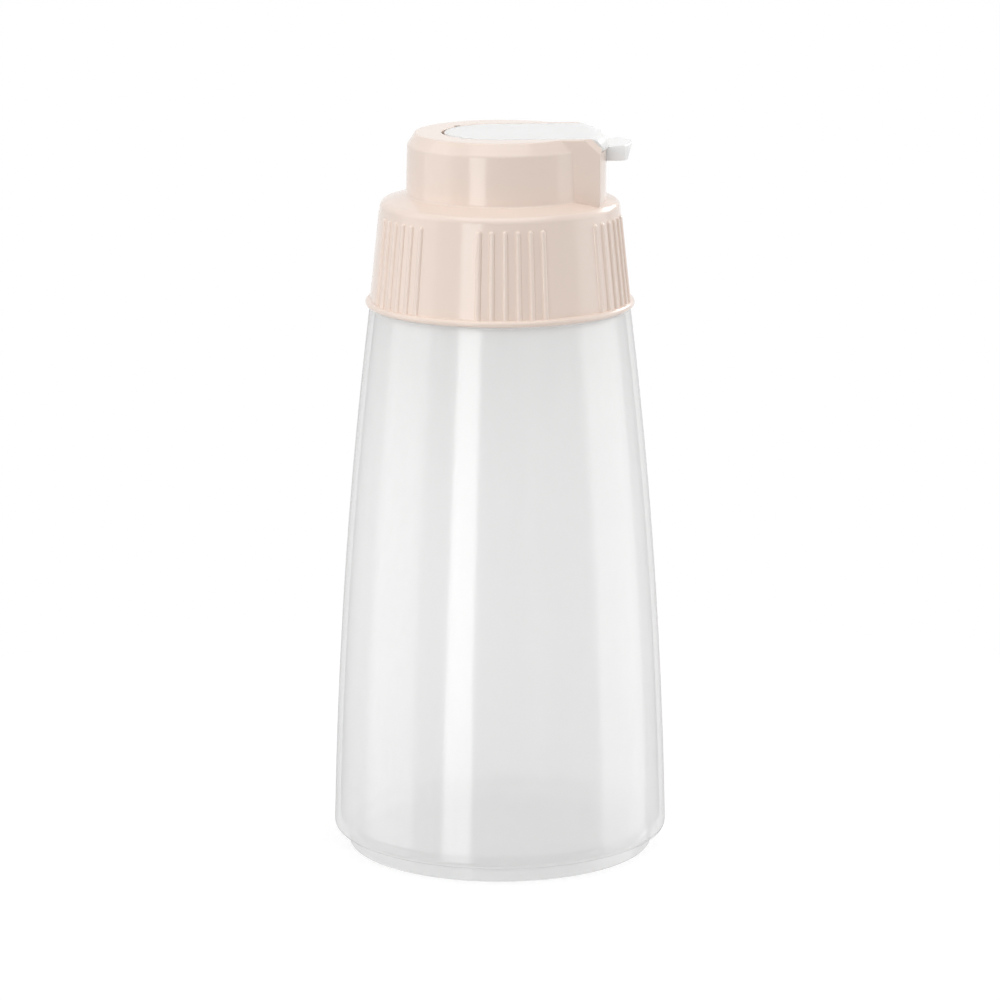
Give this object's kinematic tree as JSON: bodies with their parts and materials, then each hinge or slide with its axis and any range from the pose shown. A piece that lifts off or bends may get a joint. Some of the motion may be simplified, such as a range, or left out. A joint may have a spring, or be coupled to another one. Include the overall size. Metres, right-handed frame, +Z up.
{
  "type": "sauce squeeze bottle",
  "caption": "Squeeze bottle for sauce or dressing: tapered translucent body, ribbed screw cap with a pouring nose, and a hinged flip lid with a finger tab.",
  "frame": {"origin": "middle of the resting face under the bottle", "axes": "+Z up along the bottle's axis, +X towards the pouring nose and the lid's finger tab"},
  "size_m": [0.072, 0.072, 0.1556],
  "materials": {
    "bottle": "translucent frosted polypropylene",
    "cap": "satin pale blush polypropylene",
    "lid": "satin white polypropylene"
  },
  "bodies": {
    "container": {"bottle": "bottle", "cap": "cap"},
    "flip_lid": {"lid": "lid"}
  },
  "joints": [
    {"name": "lid_hinge", "type": "hinge", "parent": "container", "child": "flip_lid", "pos_m": [-0.0082, 0, 0.1549], "axis": [0, -1, 0], "range_deg": [0, 100]}
  ]
}
